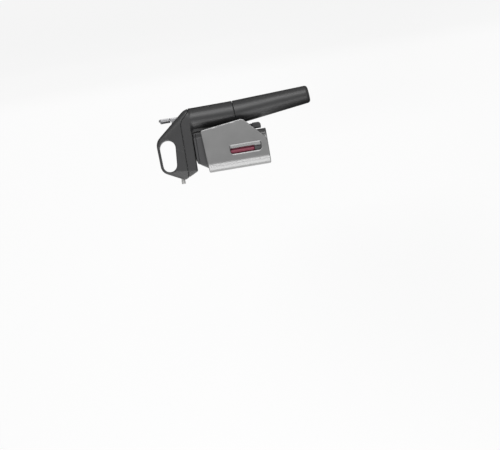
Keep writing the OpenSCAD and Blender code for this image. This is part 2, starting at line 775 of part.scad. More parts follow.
// The head's cover, hollow round the wall of its loop
module head_cover() color(black) difference() {
    union() {
        difference() {
            intersection() { head_form(); seam_side(true); }
            difference() {
                head_form(head_wall);
                loop_form(loop_wall, far);
            }
        }
        intersection() {
            head_form(0.4);
            seam_side(true);
            for (p = cover_screw_at) translate([p[0], p[1], head_floor]) {
                cylinder(r = cover_boss_r, h = lower_shell_h + p[2]);
                // web that ties the front boss to the nose
                if (p[1] == 0) block([-cover_boss_r - 6, -1, 0], [0, 1, lower_shell_h + p[2]]);
            }
        }
    }
    loop_form(0, far);
    block([slot_far_x, -web_half - 0.5, seam_z - 8], [slot_near_x, web_half + 0.5, far]);
    rod_x(-far, block_x[0] - 3, spout_z, spout_r + fit);
    rod_x(-ring_x[1], block_x[0] - 3, spout_z, ring_out_r + press_gap);
    for (p = cover_screw_at) translate([p[0], p[1], head_floor])
        cylinder(r = cover_screw_r - 0.02, h = lower_shell_h + p[2] - 1);
}

module cover_screws() color(steel)
    for (p = cover_screw_at) translate([p[0], p[1], head_floor]) difference() {
    union() {
        translate([0, 0, 0.4]) cylinder(r = 2.4, h = 1.4);
        translate([0, 0, 1]) cylinder(r = cover_screw_r - 0.04, h = lower_shell_h + p[2] - 2.4);
    }
    cylinder(r = 1.1, h = 1.2, $fn = 6);
}

// Rail section: a bar with a groove along each side
module rail() color(black) difference() {
    union() {
        block([rail_x, -rail_half, -rail_drop + stop_h],
              [rail_x + rail_t, rail_half, head_floor + head_wall + 3]);
        block([rail_x - 2, -rail_half - 4.6, head_floor + head_wall + fit],
              [rail_x + rail_t + 2, rail_half + 4.6, head_floor + head_wall + 3]);
        block([rail_x + 1.5, -rail_half + 3, -rail_drop + 3],
              [rail_x + rail_t - 1.5, rail_half - 3, -rail_drop + stop_h + 1]);
    }
    for (s = [-1, 1]) translate([groove_x, s * rail_half - groove_deep, -rail_drop - 1])
        cube([groove_w, 2 * groove_deep, rail_drop + 1 + head_floor]);
    rail_foot_screw_places() cylinder(r = 1.05, h = far);
}

// The stop on the end of the rail, which meets the yoke when the head is all the way up
module rail_stop() color(charcoal) difference() {
    along_y(stop_w / 2) {
        translate([rail_x, -rail_drop]) square([stop_t - stop_edge, stop_h - fit]);
        translate([rail_x, -rail_drop + stop_edge]) square([stop_t, stop_h - stop_edge - fit]);
        translate([rail_x + stop_t - stop_edge, -rail_drop + stop_edge]) circle(stop_edge);
    }
    block([rail_x + 1.5 - fit, -rail_half + 3 - fit, -rail_drop + 3 - fit],
          [rail_x + rail_t - 1.5 + fit, rail_half - 3 + fit, far]);
}

module rail_screws() color(steel) rail_foot_screw_places() translate([0, 0, head_floor]) {
    translate([0, 0, 0.8]) cylinder(r = 1, h = head_wall + 3.2);
    translate([0, 0, head_wall + 3]) cylinder(r = 1.7, h = 1.2);
}

// ------------------------------------------------------------------------- valve and needle

module valve_block() color(alloy) difference() {
    union() {
        block([block_x[0], -block_half, block_base], [block_x[1], block_half, block_top]);
        // tower that carries the spout tube
        intersection() {
            union() {
                block([block_x[0], -spout_in_r - 0.7, block_top - 1], [tower_x, spout_in_r + 0.7, spout_z]);
                rod_x(block_x[0], tower_x, spout_z, spout_in_r + 0.7);
            }
            block([-far, -far, -far], [far, far, spout_z + 2.8]);
        }
    }
    translate([0, 0, block_base - 1])
        cylinder(r = hub_r + 0.2, h = 1 + hub_z + hub_flange_t - block_base + fit);
    translate([0, 0, block_base - 1]) cylinder(r = thread_r + pin_gap, h = hub_top - block_base + 2);
    cylinder(r = 1.4, h = stem_z);
    rod_x(block_x[0] + 2, block_x[1] + 1, stem_z, valve_r);
    translate([block_x[0] + 3.4, 0, stem_z]) cylinder(r = 1.2, h = spout_z - stem_z);
    rod_x(spout_root_x - 1, tower_x - 1, spout_z, spout_in_r - spout_wall);
    rod_x(block_x[0] - 1, spout_root_x, spout_z, spout_in_r + press_gap);
    rod_x(9, block_x[1] + 1, gas_z, 1.2);
    rod_x(block_x[1] - 5, block_x[1] + 1, gas_z, tube_r + press_gap);
    translate([10.5, 0, gas_z]) cylinder(r = 1.2, h = stem_z - gas_z);
}

module needle_hub() color(steel) difference() {
    union() {
        translate([0, 0, hub_z]) cylinder(r = hub_r, h = hub_flange_t);
        translate([0, 0, hub_z]) cylinder(r = thread_r, h = hub_top - hub_z);
    }
    cylinder(r = needle_r + press_gap, h = far);
    for (a = [0 : 60 : 300]) rotate([0, 0, a]) translate([hub_r + 0.5, 0, hub_z - 0.5])
        cylinder(r = 0.9, h = 3, $fn = 20);
}

// The hollow needle: a closed cone for a tip, and a port in its side just above
module needle() color(steel) difference() {
    union() {
        translate([0, 0, -needle_reach + 4]) cylinder(r = needle_r, h = needle_reach - 4 + hub_top);
        translate([0, 0, -needle_reach]) cylinder(r1 = 0.08, r2 = needle_r, h = 4, $fn = 32);
    }
    translate([0, 0, -needle_reach + 6]) cylinder(r = needle_r * 0.6, h = far);
    translate([-needle_r, 0, -needle_reach + 7.5]) rotate([0, 90, 0])
        cylinder(r = 0.45, h = needle_d, center = true);
}

module needle_seal() color(rubber) translate([0, 0, hub_top + 0.5]) rotate_extrude()
    translate([thread_r - 0.8, 0]) circle(0.45, $fn = 24);

module spout_tube() color(steel) difference() {
    union() {
        rod_x(spout_tip_x, spout_tip_x + spout_lip, spout_z, spout_r);
        rod_x(spout_tip_x, spout_root_x, spout_z, spout_in_r);
    }
    rod_x(spout_tip_x - 1, spout_root_x + 1, spout_z, spout_in_r - spout_wall);
}

// A ring that seats the spout tube in the nose of the head
module spout_ring() color(ivory) translate([0, 0, spout_z]) rotate([0, -90, 0])
    ring(spout_in_r + press_gap, ring_out_r, ring_x[0], ring_x[1]);

module valve_gland() color(brass) difference() {
    union() {
        rod_x(block_x[1] - 5, block_x[1] + gland_t, stem_z, valve_r - press_gap);
        rod_x(block_x[1], block_x[1] + gland_t, stem_z, 4.2);
    }
    rod_x(0, far, stem_z, stem_r + pin_gap);
}

module valve_spring() color(steel) {
    from = block_x[1] + gland_t + 0.7;
    translate([from, 0, stem_z]) rotate([0, 90, 0]) wire(helix(2.5, collar_x - 0.6 - from, 6), 0.35);
}

module valve_stem() color(steel) difference() {
    union() {
        rod_x(-5, stem_tip_x - 0.8, stem_z, stem_r);
        translate([stem_tip_x - 0.8, 0, stem_z]) rotate([0, 90, 0])
            cylinder(r1 = stem_r, r2 = 0.8, h = 0.8);
        for (x = seal_at) rod_x(x - 2.5, x + 2.5, stem_z, valve_r - 0.12);
        rod_x(collar_x, collar_x + 1.5, stem_z, 3.2);
    }
    for (x = seal_at) translate([x, 0, stem_z]) rotate([0, 90, 0])
        rotate_extrude() translate([valve_r - 2 * seal_r - 0.1, -seal_r - fit])
            square([4 * seal_r, 2 * (seal_r + fit)]);
}

module stem_seals() color(rubber) for (x = seal_at) translate([x, 0, stem_z]) rotate([0, 90, 0])
    rotate_extrude() translate([valve_r - pin_gap - seal_r, 0]) circle(seal_r, $fn = 24);

// ---------------------------------------------------------------------------------- trigger

module trigger() color(silver) difference() {
    union() {
        along_y(web_half) {
            translate(pivot) circle(boss_r);
            polygon([[push_x, pivot[1] + 4], [push_x, web_top], [paddle_in_x, web_top],
                     [paddle_in_x + 0.3, pivot[1] + paddle_rise - 2],
                     [paddle_out_x, pivot[1] + paddle_rise - 2],
                     [paddle_out_x, pivot[1]], [pivot[0], pivot[1]]]);
        }
        // thumb paddle: a plate with round corners, seen from the handle side
        intersection() {
            block([paddle_in_x, -far, web_top + 1.5], [paddle_out_x + 0.3, far, far]);
            translate([0, 0, pivot[1]]) rotate([0, 90, 0]) linear_extrude(far) {
                r = paddle_corner_r;
                translate([-paddle_rise + r, -paddle_w / 2]) square([paddle_rise, paddle_w]);
                translate([-paddle_rise, -paddle_w / 2 + r]) square([paddle_rise, paddle_w - 2 * r]);
                for (s = [-1, 1]) translate([-paddle_rise + r, s * (paddle_w / 2 - r)]) circle(r);
            }
            along_y(far)
                polygon([[paddle_in_x - 1, pivot[1]], [paddle_in_x, pivot[1] + paddle_rise - 2],
                         [paddle_in_x + 1, pivot[1] + paddle_rise],
                         [paddle_out_x - 1, pivot[1] + paddle_rise],
                         [paddle_out_x + 0.3, pivot[1] + paddle_rise - 2], [paddle_out_x, pivot[1]]]);
        }
    }
    translate([pivot[0], 0, pivot[1]]) rotate([90, 0, 0])
        cylinder(r = trigger_pin_r + pin_gap, h = far, center = true);
}

module trigger_underlay() color(charcoal)
    block([paddle_in_x - 1.8, -paddle_w / 2 + 2, web_top + 1.5],
          [paddle_in_x - fit, paddle_w / 2 - 2, pivot[1] + paddle_rise - 2]);

module trigger_pin() color(steel) translate([pivot[0], 0, pivot[1]]) rotate([90, 0, 0])
    cylinder(r = trigger_pin_r, h = 2 * pin_half, center = true);

// -------------------------------------------------------------------- gas line and regulator

// The tube from the regulator up, round one bend, and along to the valve block
module gas_tube() color(steel) {
    bend_z = gas_z - tube_bend;
    foot_z = cup_seam_z + reg_top + cap_t - 1;
    difference() {
        translate([tube_x, 0, foot_z]) cylinder(r = tube_r, h = bend_z - foot_z);
        translate([tube_x, 0, foot_z - 1]) cylinder(r = tube_r - 0.5, h = bend_z - foot_z + 2);
    }
    translate([tube_x - tube_bend, 0, bend_z]) rotate([90, 0, 0]) rotate_extrude(angle = 90)
        translate([tube_bend, 0]) difference() { circle(tube_r, $fn = 32); circle(tube_r - 0.5, $fn = 24); }
    difference() {
        rod_x(block_x[1] - 4, tube_x - tube_bend, gas_z, tube_r);
        rod_x(block_x[1] - 5, tube_x - tube_bend + 1, gas_z, tube_r - 0.5);
    }
}

module regulator_body() color(brass) in_handle() difference() {
    union() {
        translate([0, 0, -nose_len]) cylinder(r = thread_cup_r - 0.03, h = nose_len + 1);
        cylinder(r = reg_r, h = reg_top);
        translate([0, 0, 0.8]) cylinder(r = reg_flange_r, h = 3.5);
    }
    translate([0, 0, -nose_len - 1]) cylinder(r = 5.2, h = 5);
    translate([0, 0, piston_low - 1.5]) cylinder(r = piston_bore_r, h = far);
    translate([0, 0, -nose_len]) cylinder(r = 2 + press_gap, h = nose_len + 4);
    translate([0, 0, -2]) cylinder(r = 1.3, h = far);
    for (z = [1 - nose_len : cup_pitch : -cup_pitch]) translate([0, 0, z])
        rotate_extrude() translate([thread_cup_r, 0]) circle(0.5, $fn = 12);
}

module regulator_cap() color(alloy) in_handle() difference() {
    union() {
        translate([0, 0, reg_top + fit]) cylinder(r = reg_r - 1, h = cap_t);
        translate([0, 0, reg_top - 3]) cylinder(r = piston_bore_r - press_gap, h = 4);
    }
    in_cap_tube();
}
// The hole that the gas tube stands in, straight down through the leaning cap
module in_cap_tube() rotate([0, handle_tilt, 0]) translate([tube_x - handle_x, 0, 0])
    cylinder(r = tube_r + fit, h = far);

module regulator_spring() color(steel) in_handle() translate([0, 0, piston_low + piston_t + 0.8])
    wire(helix(5.6, reg_top - 3 - 0.7 - piston_low - piston_t - 0.8, 3), 0.5);

module regulator_piston() color(alloy) in_handle() difference() {
    union() {
        translate([0, 0, piston_low]) cylinder(r = piston_r, h = piston_t);
        translate([0, 0, 5]) cylinder(r = 1.22, h = piston_low - 4);
    }
    translate([0, 0, piston_low + piston_t / 2]) rotate_extrude()
        translate([piston_r + 0.2, 0]) circle(0.9, $fn = 20);
}

module pierce_pin() color(steel) in_handle() difference() {
    union() {
        translate([0, 0, -9]) cylinder(r = 2, h = 12.5);
        translate([0, 0, capsule_top - 2.5]) cylinder(r1 = 0.3, r2 = 1.2, h = 2.5, $fn = 32);
        translate([0, 0, capsule_top - 0.1]) cylinder(r = 1.2, h = 2);
    }
    translate([0, 0, -8]) cylinder(r = 0.5, h = far);
}

module capsule_seal() color(rubber) in_handle() ring(2.1, 5, -9.9, -8.1);

// The ring under the regulator's flange that keeps dirt out of the cup's seam
module cup_seal() color(rubber) in_handle() ring(thread_cup_r + 0.3, handle_r - cup_wall - 0.4, -0.8, 0.8);

// A small vent plug in the handle's side
module relief_place() translate([handle_x, 0, relief_z]) rotate([0, 0, relief_turn])
    translate([handle_r_at(relief_z), 0, 0]) rotate([0, 90, 0]) children();
module relief_port() color(steel) relief_place() translate([0, 0, -head_wall]) difference() {
    cylinder(r = relief_r, h = head_wall + 0.1);
    translate([0, 0, head_wall - 0.6]) cylinder(r = 0.7, h = 2, $fn = 6);
}

// --------------------------------------------------------------------------- capsule and cup

module gas_capsule() color(alloy) in_handle() difference() {
    shoulder = 9;
    base = capsule_top - capsule_len;
    rotate_extrude() {
        translate([0, capsule_top - capsule_neck_len]) square([capsule_neck_r, capsule_neck_len]);
        polygon([[0, capsule_top - capsule_neck_len - shoulder],
                 [capsule_r, capsule_top - capsule_neck_len - shoulder],
                 [capsule_r * 0.97, capsule_top - capsule_neck_len - shoulder * 0.62],
                 [capsule_r * 0.84, capsule_top - capsule_neck_len - shoulder * 0.3],
                 [capsule_neck_r + 0.8, capsule_top - capsule_neck_len],
                 [0, capsule_top - capsule_neck_len]]);
        translate([0, base + 4.5]) square([capsule_r, capsule_len - capsule_neck_len - shoulder - 4.5]);
        translate([0, base]) square([capsule_r - 4.5, 5]);
        translate([capsule_r - 4.5, base + 4.5]) circle(4.5);
    }
    translate([0, 0, capsule_top - 4]) cylinder(r = 1.4, h = 6);
}

function cup_r(z) = handle_r + (handle_r - cup_end_r) * z / cup_len;

module cup_profile(inset, top) {
    end_r = cup_end_r - inset;
    edge = cup_end_edge - inset;
    low = -cup_len + inset;
    polygon([[0, top], [cup_r(top) - inset, top], [end_r, low + edge], [0, low + edge]]);
    translate([0, low]) square([end_r - edge, edge + 0.01]);
    translate([end_r - edge, low + edge]) circle(edge);
}

module cup_shell() color(black) in_handle() {
    difference() {
        rotate_extrude() cup_profile(0, -cup_gap / 2);
        translate([0, 0, 1]) rotate_extrude() cup_profile(cup_wall, 5);
    }
    // ribs that centre the liner, and a post under its foot
    for (a = [0 : 60 : 300]) rotate([0, 0, a])
        block([liner_out_r + 0.2, -0.7, liner_bottom + 2],
              [cup_r(liner_bottom) - 1, 0.7, liner_bottom + 12]);
    translate([0, 0, 1.5 - cup_len]) cylinder(r = 3, h = cup_len - 1.5 + liner_bottom);
}

// The liner that the capsule sits in, with the thread that holds the cup on
module cup_liner() color(alloy) in_handle() difference() {
    union() {
        translate([0, 0, -nose_len - 2]) cylinder(r1 = cup_r(-nose_len - 2) - cup_wall - slide_gap,
                                                  r2 = cup_r(-1) - cup_wall - slide_gap, h = nose_len + 1);
        translate([0, 0, liner_bottom]) cylinder(r = liner_out_r, h = -liner_bottom - nose_len);
    }
    translate([0, 0, liner_bottom + 1.5]) cylinder(r = liner_in_r, h = far);
    translate([0, 0, -nose_len - fit]) cylinder(r = thread_cup_r + 0.05, h = far);
}

module cup_foot() color(rubber) in_handle() translate([0, 0, liner_bottom + 1.6])
    difference() {
        cylinder(r = liner_in_r - 0.6, h = 3.2);
        translate([0, 0, 2.2]) cylinder(r = 4, h = 2);
    }

// ------------------------------------------------------------------------------ what is drawn

yoke();
yoke_cover();
yoke_screws();
needle_guide();
upper_bush();
lip_gasket();
hinge_pins();
jaw_spring_left();
jaw_spring_right();
jaw_shell_left();
jaw_shell_right();
jaw_carrier_left();
jaw_carrier_right();
grip_pad_left();
grip_pad_right();
jaw_screws_left();
jaw_screws_right();
head_body();
head_cover();
cover_screws();
rail();
rail_stop();
rail_screws();
valve_block();
needle_hub();
needle();
needle_seal();
spout_tube();
spout_ring();
valve_gland();
valve_spring();
valve_stem();
stem_seals();
trigger();
trigger_underlay();
trigger_pin();
gas_tube();
regulator_body();
regulator_cap();
regulator_spring();
regulator_piston();
pierce_pin();
capsule_seal();
cup_seal();
relief_port();
gas_capsule();
cup_shell();
cup_liner();
cup_foot();
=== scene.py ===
# %% [markdown]
# # Wine preservation dispenser
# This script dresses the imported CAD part. Every visible shell is moulded again from its CAD solid as a
# signed distance field, which lets each edge take the small radius that a real tool leaves on it.

# %% Load the frame
import functools
import itertools
import json
import math

import bmesh
import bpy
import numpy as np
import openvdb as vdb
from mathutils import Matrix, Vector

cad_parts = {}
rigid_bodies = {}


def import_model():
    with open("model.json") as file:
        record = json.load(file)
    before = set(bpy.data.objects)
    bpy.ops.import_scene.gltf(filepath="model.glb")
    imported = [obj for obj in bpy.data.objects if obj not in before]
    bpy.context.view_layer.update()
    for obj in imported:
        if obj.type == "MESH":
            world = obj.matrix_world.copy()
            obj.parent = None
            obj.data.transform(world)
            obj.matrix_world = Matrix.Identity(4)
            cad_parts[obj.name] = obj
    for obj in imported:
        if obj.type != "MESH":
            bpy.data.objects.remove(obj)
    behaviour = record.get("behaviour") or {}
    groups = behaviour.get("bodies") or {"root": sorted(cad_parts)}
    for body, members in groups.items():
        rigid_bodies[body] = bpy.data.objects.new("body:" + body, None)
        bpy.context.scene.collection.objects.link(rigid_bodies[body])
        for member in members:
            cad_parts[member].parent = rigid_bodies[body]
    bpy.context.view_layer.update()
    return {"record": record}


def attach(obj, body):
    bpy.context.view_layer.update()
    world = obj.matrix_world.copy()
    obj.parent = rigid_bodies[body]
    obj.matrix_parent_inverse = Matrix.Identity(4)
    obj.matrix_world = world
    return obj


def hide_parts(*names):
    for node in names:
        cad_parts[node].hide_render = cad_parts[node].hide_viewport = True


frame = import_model()
MM = 0.001


# %% [markdown]
# ## Camera
# The photograph looks straight at the side of the dispenser, along +Y, with the needle almost level and
# the spout pointing down. Its picture's right is the frame's -Z turned by 9.46 degrees, and one pixel is
# 1.40 mm. A camera can be aimed by hand, but here its three axes are written down, so that the match can
# be read. A long lens far away keeps the sides as parallel as they are in the photograph.

# %% Camera
PIXEL = 1.40 * MM
PHOTO_WIDTH = 500
SENSOR_WIDTH = 36
CAMERA_DISTANCE = 3.0
PICTURE_TURN = math.radians(9.46)
PICTURE_CENTRE = Vector((-103.5 * MM, 0, -14.2 * MM))

right = Vector((-math.sin(PICTURE_TURN), 0, -math.cos(PICTURE_TURN)))
up = Vector((math.cos(PICTURE_TURN), 0, -math.sin(PICTURE_TURN)))
back = right.cross(up)
camera_data = bpy.data.cameras.new("camera")
camera_data.sensor_width = SENSOR_WIDTH
camera_data.lens = SENSOR_WIDTH * CAMERA_DISTANCE / (PHOTO_WIDTH * PIXEL)
camera = bpy.data.objects.new("camera", camera_data)
camera.matrix_world = (Matrix.Translation(PICTURE_CENTRE + CAMERA_DISTANCE * back)
                       @ Matrix((right, up, back)).transposed().to_4x4())
bpy.context.scene.collection.objects.link(camera)
bpy.context.scene.camera = camera
bpy.context.scene.view_settings.view_transform = "Standard"
print("lens", round(camera_data.lens, 1), "mm")

# %% [markdown]
# ## Shader maths
# A finish is worked out at every point of a surface, by nodes. Nodes can be joined by hand, but a formula
# is easier to read. So a small class wraps a node's socket, and sums and products of sockets are written
# as plain arithmetic. Its `make` builds any other node: settings first, then values or links.


# %% Shader maths
class Signal:
    """One output of a node, which can be added, multiplied and so on."""

    def __init__(self, tree, socket):
        self.tree, self.socket = tree, socket

    def _maths(self, operation, *values):
        return make(self.tree, "ShaderNodeMath", {"operation": operation}, dict(enumerate(values)))

    def __add__(self, other):
        return self._maths("ADD", self, other)

    def __radd__(self, other):
        return self._maths("ADD", other, self)

    def __sub__(self, other):
        return self._maths("SUBTRACT", self, other)

    def __rsub__(self, other):
        return self._maths("SUBTRACT", other, self)

    def __mul__(self, other):
        return self._maths("MULTIPLY", self, other)

    def __rmul__(self, other):
        return self._maths("MULTIPLY", other, self)

    def __truediv__(self, other):
        return self._maths("DIVIDE", self, other)

    def __rtruediv__(self, other):
        return self._maths("DIVIDE", other, self)

    def __abs__(self):
        return self._maths("ABSOLUTE", self)

    def rise(self, low, high):
        """0 below low, 1 above high, and smooth between them."""
        return make(self.tree, "ShaderNodeMapRange", {"interpolation_type": "SMOOTHSTEP"},
                    {"Value": self, "From Min": low, "From Max": high})

    def within(self, low, high, soft=1.0):
        """1 between low and high, 0 outside, with soft ends."""
        return self.rise(low - soft, low) * (1 - self.rise(high, high + soft))


def make(tree, kind, settings=None, inputs=None, output=0):
    """One node: settings first, then a value or a link for each named input."""
    node = tree.nodes.new(kind)
    for name, value in (settings or {}).items():
        setattr(node, name, value)
    for name, value in (inputs or {}).items():
        if isinstance(value, Signal):
            tree.links.new(value.socket, node.inputs[name])
        else:
            node.inputs[name].default_value = value
    return Signal(tree, node.outputs[output])


print("shader maths ready")

# %% [markdown]
# ## Parts of a finish
# Every finish starts from one Principled shader and the object's own coordinates in mm, so that a grain
# keeps its real size. No real surface has one even colour and gloss, so both wander a little about their
# middle value, driven by noise.


# %% Parts of a finish
OBJECT_COORDINATES = 3


def surface(name, **constants):
    """A material with one Principled shader, its constants set, and the object's coordinates in mm."""
    material = bpy.data.materials.new(name)
    material.use_nodes = True
    tree = material.node_tree
    shader = tree.nodes["Principled BSDF"]
    for key, value in constants.items():
        shader.inputs[key.replace("_", " ")].default_value = value
    place = make(tree, "ShaderNodeTexCoord", output=OBJECT_COORDINATES)
    place_mm = make(tree, "ShaderNodeVectorMath", {"operation": "SCALE"}, {0: place, "Scale": 1 / MM})
    return material, tree, shader, place_mm


def feed(shader, **signals):
    """Links each signal to the shader's input of that name."""
    for key, signal in signals.items():
        signal.tree.links.new(signal.socket, shader.inputs[key.replace("_", " ")])


def noise(tree, place, size, detail=2.0, rough=0.5):
    """Noise whose blotches are about size mm across."""
    return make(tree, "ShaderNodeTexNoise", {"noise_dimensions": "3D"},
                {"Vector": place, "Scale": 1 / size, "Detail": detail, "Roughness": rough})


def shade(colour, factor=1.0):
    """A colour made lighter or darker, with its alpha."""
    return tuple(min(c * factor, 1.0) for c in colour) + (1,)


def blend_colours(tree, factor, first, second):
    """Goes from the first colour to the second."""
    return make(tree, "ShaderNodeMix", {"data_type": "RGBA"}, {0: factor, 6: first, 7: second}, output=2)


def varied(middle, *parts):
    """A value that wanders about its middle: each part is a signal from 0 to 1 and its spread."""
    return sum((signal * spread for signal, spread in parts), middle - sum(p[1] for p in parts) / 2)


def relief(tree, height, depth_mm):
    """A bump of that depth."""
    return make(tree, "ShaderNodeBump", None,
                {"Height": height, "Distance": depth_mm * MM, "Strength": 1.0})


print("parts of a finish ready")

# %% [markdown]
# ## Moulded plastics
# The shells are black glass-filled nylon with a fine spark-eroded grain, and the grips are a wine-red
# elastomer. An image could carry the grain, but noise has no seams and no end, so it suits a moulding
# that curves every way. The grain is both a little relief and a little change of gloss.


# %% Moulded plastics
PLASTIC_CLOUD = 14.0
PLASTIC_GRAIN_DEPTH = 0.012


def moulded_plastic(name, colour, rough, grain=0.35, wear=0.10):
    """Plastic with a spark-eroded grain, slightly cloudy in colour and gloss."""
    material, tree, shader, place = surface(name, Specular_IOR_Level=0.55)
    fine = noise(tree, place, grain, detail=3.0, rough=0.6)
    cloud = noise(tree, place, PLASTIC_CLOUD)
    tone = blend_colours(tree, cloud * 0.6 + fine * 0.4, shade(colour, 1 - wear), shade(colour, 1 + wear))
    feed(shader, Base_Color=tone,
         Roughness=varied(rough, (cloud, 0.08), (fine, 0.06)),
         Normal=relief(tree, fine, PLASTIC_GRAIN_DEPTH))
    return material


black_shell = moulded_plastic("black nylon shell", (0.036, 0.036, 0.037), 0.43)
charcoal = moulded_plastic("charcoal nylon", (0.052, 0.052, 0.054), 0.52, grain=0.5)
wine_grip = moulded_plastic("wine red elastomer", (0.24, 0.036, 0.068), 0.55, grain=0.6, wear=0.14)
black_rubber = moulded_plastic("black rubber", (0.022, 0.022, 0.022), 0.62, grain=0.5)
ivory = moulded_plastic("ivory acetal", (0.74, 0.73, 0.68), 0.40, grain=0.8, wear=0.03)
print("plastics made")

# %% [markdown]
# ## Silver lacquer
# The jaws and the trigger carry a satin lacquer: a fine metal flake under a thin clear film. Voronoi
# cells are the flakes, because each one lies at its own angle. In the recess round the jaw's slot the
# lacquer's colour is darkened: painted shade, for the shade that falls in that recess.

# %% Silver lacquer
FLAKE_SIZE = 0.16
FLAKE_DEPTH = 0.004
LACQUER_CLOUD = 18.0
# The jaw's wall and the recess round its slot, where shade is painted into the lacquer.
JAW_WALL_Y = 27.5
RECESS_X = (-6.0, 11.5)
RECESS_Z = (-49.0, -4.0)
RECESS_DEPTH = (0.1, 0.7)  # below the wall, where the shade starts and where it is full


def painted_recess_shade_mask(tree, place):
    """1 in the recess round the slot of each jaw, where shade is painted, 0 elsewhere."""
    x, y, z = (make(tree, "ShaderNodeSeparateXYZ", None, {0: place}, output=axis) for axis in range(3))
    return x.within(*RECESS_X) * z.within(*RECESS_Z) * (JAW_WALL_Y - abs(y)).rise(*RECESS_DEPTH)


def flake_lacquer(name, colour, rough, has_painted_recess_shade=False):
    """Satin silver lacquer, with painted shade in the recess round the slot if it has one."""
    material, tree, shader, place = surface(name, Metallic=0.85, Coat_Roughness=0.25)
    flake = make(tree, "ShaderNodeTexVoronoi", {"feature": "F1"}, {"Vector": place, "Scale": 1 / FLAKE_SIZE})
    cloud = noise(tree, place, LACQUER_CLOUD)
    film = blend_colours(tree, flake * 0.5 + cloud * 0.5, shade(colour, 0.90), shade(colour, 1.10))
    if has_painted_recess_shade:
        # painted shade: the lacquer is darkened in the recess round the slot
        film = blend_colours(tree, painted_recess_shade_mask(tree, place), film, shade(colour, 0.5))
    feed(shader, Base_Color=film,
         Roughness=varied(rough, (cloud, 0.06), (flake, 0.04)),
         Coat_Weight=varied(0.13, (cloud, 0.1)),
         Normal=relief(tree, flake, FLAKE_DEPTH))
    return material


# the jaws' lacquer carries the painted shade of the slot's recess
silver_lacquer = flake_lacquer("satin silver lacquer", (0.30, 0.30, 0.30), 0.40, has_painted_recess_shade=True)
trigger_lacquer = flake_lacquer("trigger silver lacquer", (0.37, 0.37, 0.38), 0.46)
print("lacquers made")

# %% [markdown]
# ## Bare metals
# The needle, pins and tubes are drawn steel, the regulator is turned brass, and the capsule is an alloy.
# Drawing and turning leave fine marks that run one way. Noise that is stretched that way gives them, with
# one function for every metal.

# %% Bare metals
MARK_SIZE = 0.5
MARK_DEPTH = 0.003
METAL_CLOUD = 9.0
EVEN_GRAIN = (1.0, 1.0, 1.0)
GRAIN_ALONG_X = (0.4, 4.0, 4.0)
GRAIN_ALONG_Z = (4.0, 4.0, 0.4)


def worked_metal(name, colour, rough, grain=EVEN_GRAIN):
    """Metal with the marks of drawing or turning, stretched along one axis by the grain."""
    material, tree, shader, place = surface(name, Metallic=1.0)
    stretched = make(tree, "ShaderNodeVectorMath", {"operation": "MULTIPLY"}, {0: place, 1: grain})
    marks = noise(tree, stretched, MARK_SIZE, detail=4.0, rough=0.6)
    cloud = noise(tree, place, METAL_CLOUD)
    feed(shader, Base_Color=blend_colours(tree, cloud, shade(colour, 0.90), shade(colour)),
         Roughness=varied(rough, (marks, 0.12), (cloud, 0.06)),
         Normal=relief(tree, marks, MARK_DEPTH))
    return material


steel = worked_metal("drawn steel", (0.66, 0.66, 0.67), 0.27, GRAIN_ALONG_Z)
spout_steel = worked_metal("polished spout steel", (0.88, 0.88, 0.86), 0.35, GRAIN_ALONG_X)
brass = worked_metal("turned brass", (0.72, 0.54, 0.27), 0.29)
alloy = worked_metal("machined alloy", (0.70, 0.71, 0.72), 0.35)
FINISH_OF_SLOT = {
    "silver_panels": silver_lacquer, "black_shell": black_shell, "charcoal": charcoal,
    "soft_grip": wine_grip, "black_rubber": black_rubber, "trigger_silver": trigger_lacquer,
    "steel": steel, "brass": brass, "alloy": alloy, "ivory": ivory,
}
print(len(FINISH_OF_SLOT), "slots have a finish")

# %% [markdown]
# ## CAD solids as triangles
# A moulding tool starts from the designer's solid, and so does this script. A CAD node's mesh is loose
# triangles, so a copy of it is welded first. Where only the filled outer form is wanted, the convex hull
# gives it.

# %% CAD solids as triangles
WELD_DISTANCE = 1e-7


def corners_and_triangles(mesh):
    """The corners and triangles of a bmesh as arrays. The bmesh is freed."""
    bmesh.ops.triangulate(mesh, faces=mesh.faces)
    mesh.verts.index_update()
    corners = np.array([v.co[:] for v in mesh.verts], dtype=np.float32)
    triangles = np.array([[v.index for v in f.verts] for f in mesh.faces], dtype=np.uint32)
    mesh.free()
    return corners, triangles


def cad_triangles(node):
    """The welded corners, in mm, and triangles of a CAD node."""
    welded = bmesh.new()
    welded.from_mesh(bpy.data.objects[node].data)
    bmesh.ops.remove_doubles(welded, verts=welded.verts, dist=WELD_DISTANCE)
    corners, triangles = corners_and_triangles(welded)
    return corners / MM, triangles


def hull_triangles(points):
    """The convex hull of points in mm."""
    hull = bmesh.new()
    for point in points:
        hull.verts.new([float(c) for c in point])
    result = bmesh.ops.convex_hull(hull, input=hull.verts)
    inner = {v for v in result["geom_interior"] + result["geom_unused"] if isinstance(v, bmesh.types.BMVert)}
    bmesh.ops.delete(hull, geom=list(inner), context="VERTS")
    return corners_and_triangles(hull)


print("the head's cover has", len(cad_triangles("head_cover")[1]), "CAD triangles")

# %% [markdown]
# ## Solids as distance fields
# A moulded shell has no sharp edge: the tool and the flow of the melt leave a radius on each one. A Bevel
# modifier needs clean edges, which a triangulated CAD solid doesn't have. So each solid becomes a signed
# distance field. Its surface moved inwards by a radius and then outwards again keeps every face where it
# was and rounds every outer edge, as a ball rolled inside the solid would.

# %% Solids as distance fields
COARSER = 1.0
SHELL_VOXEL = 0.4 * COARSER
BAND = 9  # in voxels, as far as the distances are true
MARGIN = 6  # in voxels, the room round a part


def to_field(mesh, voxel, band=BAND):
    """The signed distances to a closed mesh, in mm, below zero inside, true within a band of voxels."""
    corners, *faces = mesh
    return vdb.FloatGrid.createLevelSetFromPolygons(
        corners, transform=vdb.createLinearTransform(voxel), halfWidth=band,
        **dict(zip(("triangles", "quads"), faces)))


def moved(field, distance, voxel, band=BAND):
    """The field of the solid grown by a distance, or shrunk where it is below zero."""
    return to_field(field.convertToPolygons(isovalue=distance, adaptivity=0.0), voxel, band)


